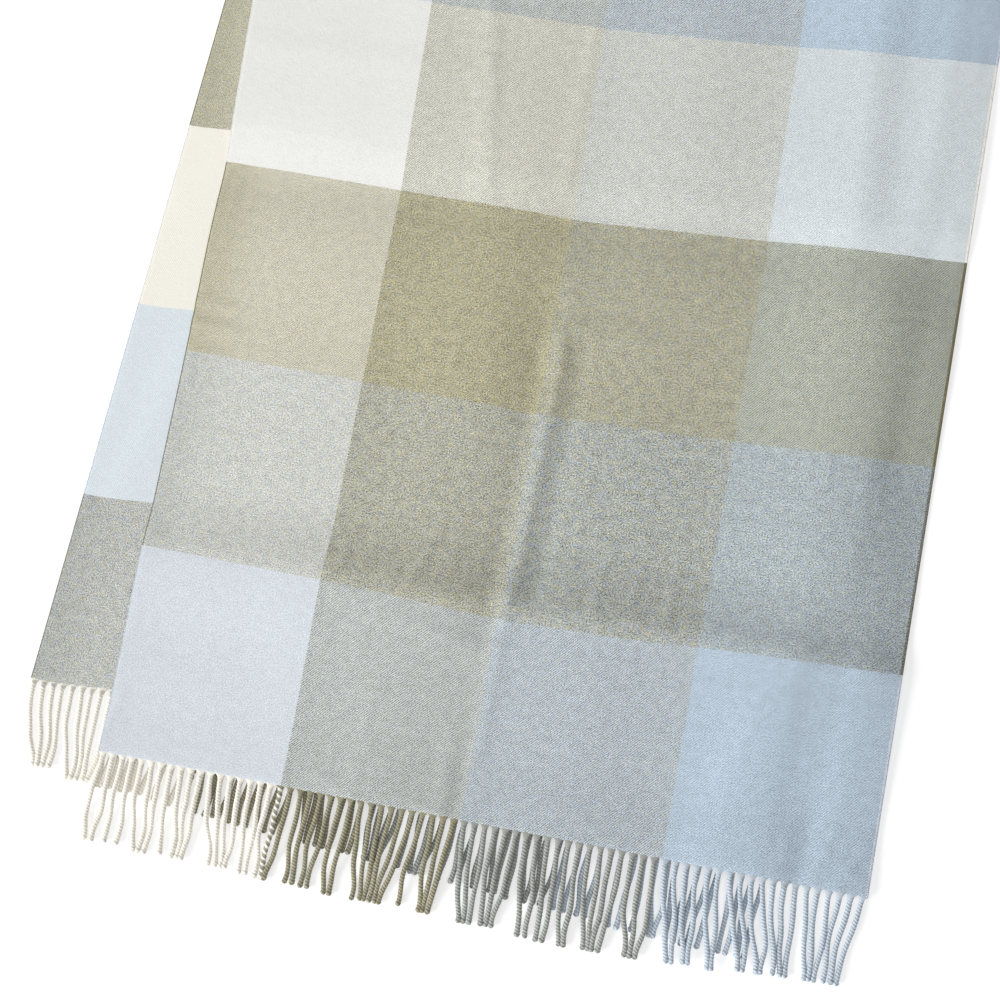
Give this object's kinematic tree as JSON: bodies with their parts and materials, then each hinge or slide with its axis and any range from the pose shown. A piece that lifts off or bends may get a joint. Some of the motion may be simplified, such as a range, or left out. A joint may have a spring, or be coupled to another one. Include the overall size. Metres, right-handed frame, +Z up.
{
  "type": "blanket scarf",
  "caption": "Large woollen stole in a pastel block check, folded once across and laid flat, with a twisted fringe at both ends.",
  "frame": {"origin": "centre of the bounding box's bottom face, on the surface that the folded stole lies on", "axes": "+Y along the cloth's length towards the turned edge, both fringes at -Y, +X to the right selvage, +Z up out of the cloth"},
  "size_m": [0.7822, 1.0593, 0.0115],
  "materials": {
    "checked_wool": "soft brushed twill, matt",
    "fringe_yarn": "twisted wool yarn, matt"
  },
  "bodies": {
    "root": {"cloth_upper": "checked_wool", "cloth_under": "checked_wool", "cloth_fold": "checked_wool", "fringe_upper": "fringe_yarn", "fringe_under": "fringe_yarn"}
  },
  "joints": []
}
